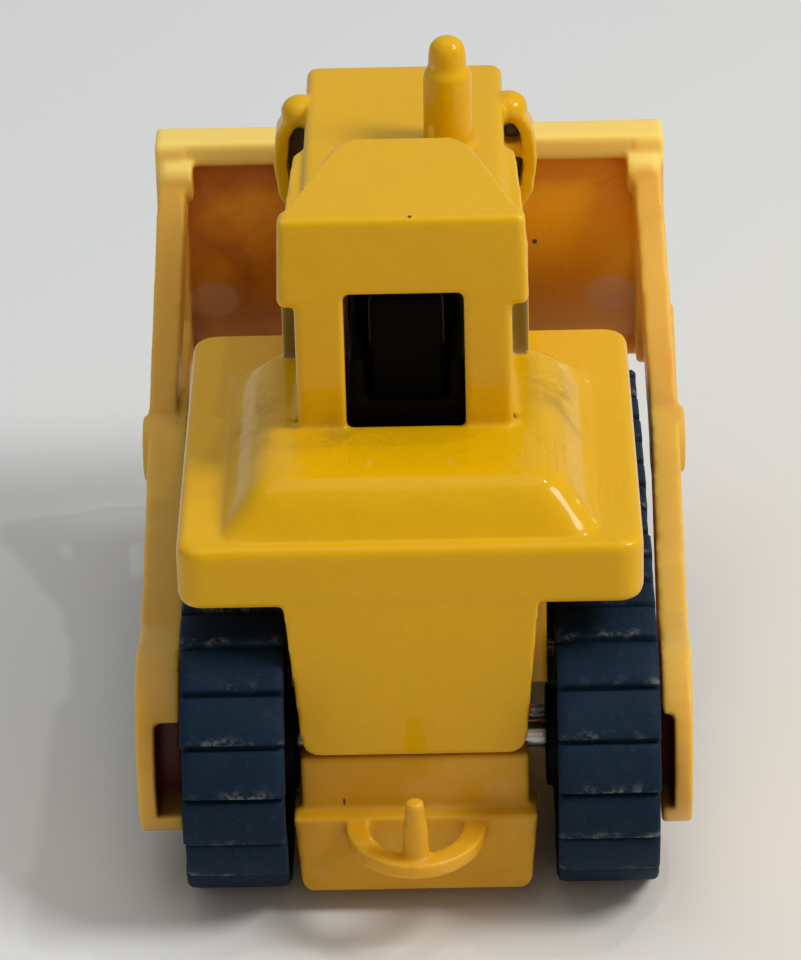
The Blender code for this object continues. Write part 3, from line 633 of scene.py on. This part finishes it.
def belt_mesh(name, side, draw):
    """A rubber belt of flat pads that each stand up at one edge and slope down to the next."""
    shape = bmesh.new()
    worn = shape.verts.layers.float.new("worn")
    grid = []
    for ring in belt_rings(draw):
        row = []
        for x, y, z, wear in ring:
            vert = shape.verts.new(place(side * x + TRACK_SHIFT, y, z))
            vert[worn] = wear
            row.append(vert)
        grid.append(row)
    count = len(grid[0])
    for index, row in enumerate(grid):
        following = grid[(index + 1) % len(grid)]
        for i in range(count):
            j = (i + 1) % count
            shape.faces.new((row[i], row[j], following[j], following[i]))
    bmesh.ops.recalc_face_normals(shape, faces=shape.faces)
    mesh = bpy.data.meshes.new(name)
    shape.to_mesh(mesh)
    shape.free()
    return mesh


# ---------------------------------------------------------------- the toy


def casting_piece(paint):
    """The die-cast shell with its ledges and sill, and with the hump's edges melted round."""
    grown = [slab(*box) for box in (*HULL_LEDGES, WINDOW_SILL)]
    mesh = melt(skin("body_casting", voxel=0.22, passes=5, extras=grown), on_hump, passes=240)
    finish_piece("casting_shell", mesh, paint, "casting", ["body_casting"])


def plastic_pieces(blade, base, black):
    """The base, the blade with its arms, and the insert in the cab."""
    mesh = skin("base_chassis", voxel=0.22, passes=5)
    finish_piece("base_moulding", mesh, base, "casting", ["base_chassis"])
    mesh = skin("blade_and_arms", voxel=0.24, passes=6)
    finish_piece("blade_moulding", mesh, blade, "blade", ["blade_and_arms"])
    mesh = skin("cab_interior", voxel=0.2, passes=5, extras=[slab(*INSERT_FLOOR)])
    finish_piece("cab_insert", mesh, black, "casting", ["cab_interior"])


def belts(navy):
    """The two belts. Both draw their pads' small faults from one source, the left belt first."""
    draw = random.Random(7)
    for side, sign in SIDES:
        mesh = belt_mesh(f"belt_{side}", sign, draw)
        finish_piece(f"rubber_track_{side}", mesh, navy, "casting", [f"track_{side}"])


def wheel_outline():
    """A wheel's closed section as (radius, distance out from the belt's inner edge)."""
    width = TRACK_OUTER_X - TRACK_INNER_X - 0.4
    rim = WHEEL_RADIUS
    bore = AXLE_RADIUS + BORE_GAP
    return [
        (bore, width - 0.4), (3.4, width - 0.4), (3.9, width - 0.9), (4.0, width - 2.0), (7.6, width - 2.0),
        (8.0, width - 0.1), (rim, width - 0.1), (rim, 0.2), (8.2, 0.2), (7.6, 1.8), (4.6, 1.8), (4.2, 0.2),
        (4.2, WHEEL_BOSS), (bore, WHEEL_BOSS),
    ]


def roller_outline():
    """A roller's closed section, with a groove round its middle."""
    rim = ROLLER_RADIUS
    bore = ROLLER_AXLE_RADIUS + BORE_GAP
    return [
        (bore, ROLLER_WIDTH), (rim, ROLLER_WIDTH), (rim, 3.2), (rim - 0.6, 3.0), (rim - 0.6, 2.0), (rim, 1.8),
        (rim, 0.0), (bore, 0.0),
    ]


def rod_outline(radius, reach):
    """A rod as long as reach to both sides."""
    return [(0.0, -reach), (radius, -reach), (radius, reach), (0.0, reach)]


def running_gear(dark, steel):
    """Wheels, rollers and axles, each on its own turning body."""
    for end, y in (("rear", REAR_AXLE_Y), ("front", FRONT_AXLE_Y)):
        body = f"{end}_wheels"
        for side, sign in SIDES:
            centre = (sign * TRACK_INNER_X + TRACK_SHIFT, y, AXLE_Z)
            outline = soften_outline(wheel_outline(), 0.35)
            mesh = lathe(f"{end}_{side}", outline, centre, (sign, 0, 0), steps=96, closed=True)
            node = f"{end}_wheel_{side}"
            finish_piece(f"wheel_{end}_{side}", mesh, dark, body, [node])
        outline = soften_outline(rod_outline(AXLE_RADIUS, AXLE_REACH[end]), 0.3)
        mesh = lathe(f"{end}_rod", outline, (0, y, AXLE_Z), (1, 0, 0), steps=40)
        finish_piece(f"axle_{end}", mesh, steel, body, [f"{end}_axle"])
    for end, y in zip(("rear", "front"), ROLLER_YS):
        body = f"{end}_rollers"
        for side, sign in SIDES:
            centre = (sign * (TRACK_INNER_X + ROLLER_INSET) + TRACK_SHIFT, y, ROLLER_Z)
            outline = soften_outline(roller_outline(), 0.25)
            mesh = lathe(f"{end}_{side}_small", outline, centre, (sign, 0, 0), steps=64, closed=True)
            node = f"{end}_roller_{side}"
            finish_piece(f"roller_{end}_{side}", mesh, dark, body, [node])
        outline = soften_outline(rod_outline(ROLLER_AXLE_RADIUS, ROLLER_AXLE_REACH), 0.2)
        mesh = lathe(f"{end}_pin", outline, (0, y, ROLLER_Z), (1, 0, 0), steps=32)
        node = f"roller_axle_{end}"
        finish_piece(f"pin_{end}", mesh, steel, body, [node])


def rivet_pieces(steel):
    """The rivets, each a shank with a low round head under the base."""
    outline = [(0.0, 7.0), (1.0, 7.0), (1.0, 0.6), (1.8, 0.55), (1.65, 0.2), (1.1, 0.02), (0.0, 0.0)]
    for name, y in RIVET_YS.items():
        mesh = lathe(name + "_turned", soften_outline(outline, 0.2), (0, y, RIVET_Z), (0, 0, 1), steps=48)
        finish_piece(name + "_head", mesh, steel, "casting", [name])


def build():
    """Makes every piece, the casting first."""
    paint = enamel()
    blade = blade_plastic()
    base = base_plastic()
    navy = rubber()
    black = black_plastic("black_plastic", (0.0006, 0.0006, 0.0005), (0.0020, 0.0017, 0.0012))
    dark = black_plastic("dark_wheel_plastic", (0.002, 0.003, 0.005), (0.006, 0.008, 0.012))
    steel = bright_steel()
    casting_piece(paint)
    plastic_pieces(blade, base, black)
    belts(navy)
    running_gear(dark, steel)
    rivet_pieces(steel)


# ---------------------------------------------------------------- the studio


def camera():
    """Behind the toy and above it, looking forward and down."""
    data = bpy.data.cameras.new("camera")
    data.sensor_fit = "HORIZONTAL"
    data.sensor_width = CAMERA_SENSOR
    data.lens = CAMERA_LENS
    data.clip_end = 10.0
    pitch, azimuth, roll = (math.radians(a) for a in (CAMERA_PITCH, CAMERA_AZIMUTH, CAMERA_ROLL))
    ahead = Vector((-math.sin(azimuth), math.cos(azimuth), 0.0))
    forward = ahead * math.cos(pitch) - Vector((0.0, 0.0, math.sin(pitch)))
    level = Vector((math.cos(azimuth), math.sin(azimuth), 0.0))
    upward = level.cross(forward)
    right = math.cos(roll) * level + math.sin(roll) * upward
    up = -math.sin(roll) * level + math.cos(roll) * upward
    turn = Matrix((right, up, -forward)).transposed().to_4x4()
    item = bpy.data.objects.new("camera", data)
    item.matrix_world = Matrix.Translation(place(*CAMERA_PLACE)) @ turn
    bpy.context.scene.collection.objects.link(item)
    bpy.context.scene.camera = item


def floor():
    """A pale matt sheet, cool on the left and warm on the right."""
    s = Shader("pale_floor")
    across = s.math("SUBTRACT", s.axis("X"), s.product(s.axis("Y"), 0.35))
    colour = s.mix(s.ramp(across, -0.05, 0.07), (0.76, 0.785, 0.80), (0.77, 0.75, 0.705))
    colour = s.mix(s.product(s.noise(14.0, detail=2.0), 0.10), colour, (0.68, 0.70, 0.715))
    s.set(Base_Color=colour, Roughness=0.55, Specular_IOR_Level=0.3)
    s.bump(((s.noise(900.0, detail=3.0), 0.01),))
    mesh = bpy.data.meshes.new("floor")
    corners = [(x * FLOOR_HALF, y * FLOOR_HALF, 0) for x, y in ((-1, -1), (1, -1), (1, 1), (-1, 1))]
    mesh.from_pydata(corners, [], [(0, 1, 2, 3)])
    mesh.materials.append(s.material)
    item = bpy.data.objects.new("floor", mesh)
    bpy.context.scene.collection.objects.link(item)


def lamp(name, location, target, size, power, colour):
    """A round lamp of the given size in metres and power in watts."""
    data = bpy.data.lights.new(name, "AREA")
    data.shape = "DISK"
    data.size = size
    data.energy = power
    data.color = colour
    item = bpy.data.objects.new(name, data)
    item.location = location
    item.rotation_euler = (Vector(target) - Vector(location)).to_track_quat("-Z", "Y").to_euler()
    bpy.context.scene.collection.objects.link(item)


def lights():
    """A window and a bulb on the right, a broad ceiling, and a weak warm lamp behind the camera."""
    lamp("window", (0.48, -0.12, 0.60), LAMP_TARGET, size=0.30, power=3.3, colour=(1.0, 0.98, 0.94))
    lamp("bulb", (0.30, 0.12, 0.80), LAMP_TARGET, size=0.03, power=0.5, colour=(1.0, 0.97, 0.93))
    lamp("ceiling", (-0.10, 0.10, 0.95), (0.0, 0.0, 0.0), size=0.9, power=1.4, colour=(0.97, 0.99, 1.0))
    lamp("warm_lamp", (0.25, -0.70, 0.26), LAMP_TARGET, size=0.5, power=0.42, colour=(1.0, 0.44, 0.14))
    world = bpy.data.worlds.new("room")
    world.use_nodes = True
    background = world.node_tree.nodes["Background"]
    background.inputs["Color"].default_value = (0.90, 0.90, 0.88, 1.0)
    background.inputs["Strength"].default_value = 0.375
    bpy.context.scene.world = world
    bpy.context.scene.view_settings.view_transform = "Standard"


camera()
floor()
lights()
build()
